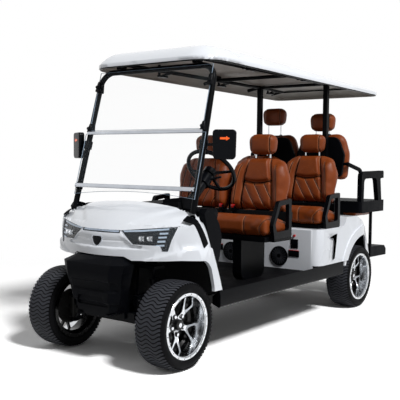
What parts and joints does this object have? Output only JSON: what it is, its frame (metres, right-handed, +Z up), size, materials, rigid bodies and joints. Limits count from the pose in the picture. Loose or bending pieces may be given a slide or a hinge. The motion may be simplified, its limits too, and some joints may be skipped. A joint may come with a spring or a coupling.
{
  "type": "golf cart",
  "caption": "Electric golf cart with two forward seat rows, a rear-facing flip seat that turns into a cargo deck, a canopy and a folding windshield.",
  "frame": {"origin": "on the ground at the middle of the whole length and width", "axes": "+Z up, -Y towards the nose, +X towards the driver's side (the vehicle's left)"},
  "size_m": [1.3576, 3.44, 1.935],
  "materials": {
    "tyre": "moulded black rubber",
    "alloy": "machined and polished, black pockets",
    "cast_metal": "painted black castings",
    "black_steel": "satin black powder coat",
    "white_panel": "glossy white moulded panels",
    "black_plastic": "textured black moulding",
    "floor_mat": "ribbed black mat",
    "tan_leather": "cognac leatherette, stitched",
    "lamp_lens": "clear lens over dark housing",
    "rail_metal": "satin anodised",
    "clear_pane": "clear acrylic"
  },
  "bodies": {
    "chassis": {"rear_axle": "cast_metal", "chassis_frame": "black_steel", "front_suspension": "black_steel", "seat_frames": "black_steel", "roof_frame": "black_steel", "windshield_frame": "black_steel", "steering_column": "black_steel", "pedals": "black_steel", "side_sills": "black_steel", "front_cowl": "white_panel", "rear_body": "white_panel", "roof": "white_panel", "front_bumper": "black_plastic", "cowl_trim": "black_plastic", "dashboard": "black_plastic", "rear_back_shells": "black_plastic", "side_armrests": "black_plastic", "body_trim": "black_plastic", "rear_seat_frame": "black_plastic", "footrest": "black_plastic", "mirrors": "black_plastic", "battery": "black_plastic", "floor": "floor_mat", "front_cushions": "tan_leather", "front_backs": "tan_leather", "second_cushions": "tan_leather", "second_backs": "tan_leather", "rear_backs": "tan_leather", "headrests": "tan_leather", "lamps": "lamp_lens", "windshield_rails": "rail_metal", "windshield": "clear_pane"},
    "knuckle_left": {"knuckle_left": "cast_metal"},
    "knuckle_right": {"knuckle_right": "cast_metal"},
    "wheel_front_left": {"tyre_front_left": "tyre", "rim_front_left": "alloy"},
    "wheel_front_right": {"tyre_front_right": "tyre", "rim_front_right": "alloy"},
    "wheel_rear_left": {"tyre_rear_left": "tyre", "rim_rear_left": "alloy"},
    "wheel_rear_right": {"tyre_rear_right": "tyre", "rim_rear_right": "alloy"},
    "steering_wheel": {"steering_wheel": "black_plastic"},
    "flip_seat": {"rear_deck": "black_plastic", "deck_cushion": "tan_leather"}
  },
  "joints": [
    {"name": "steer_left", "type": "hinge", "parent": "chassis", "child": "knuckle_left", "pos_m": [0.39, -1.45, 0.26], "axis": [0, 0, 1], "range_deg": [-25, 25]},
    {"name": "steer_right", "type": "hinge", "parent": "chassis", "child": "knuckle_right", "pos_m": [-0.39, -1.45, 0.26], "axis": [0, 0, 1], "range_deg": [-25, 25]},
    {"name": "steering_wheel_turn", "type": "hinge", "parent": "chassis", "child": "steering_wheel", "pos_m": [0.31, -0.905, 1.155], "axis": [0, 0.7431, 0.6691], "range_deg": [-350, 350]},
    {"name": "spin_front_left", "type": "hinge", "parent": "knuckle_left", "child": "wheel_front_left", "pos_m": [0.449, -1.45, 0.26], "axis": [1, 0, 0], "continuous": true},
    {"name": "spin_front_right", "type": "hinge", "parent": "knuckle_right", "child": "wheel_front_right", "pos_m": [-0.449, -1.45, 0.26], "axis": [1, 0, 0], "continuous": true},
    {"name": "spin_rear_left", "type": "hinge", "parent": "chassis", "child": "wheel_rear_left", "pos_m": [0.449, 0.95, 0.26], "axis": [1, 0, 0], "continuous": true},
    {"name": "spin_rear_right", "type": "hinge", "parent": "chassis", "child": "wheel_rear_right", "pos_m": [-0.449, 0.95, 0.26], "axis": [1, 0, 0], "continuous": true},
    {"name": "seat_flip", "type": "hinge", "parent": "chassis", "child": "flip_seat", "pos_m": [0, 1.293, 0.835], "axis": [1, 0, 0], "range_deg": [0, 180]}
  ],
  "couplings": [
    {"joint": "steer_right", "follows": "steer_left", "ratio": 1},
    {"joint": "steering_wheel_turn", "follows": "steer_left", "ratio": 14}
  ]
}
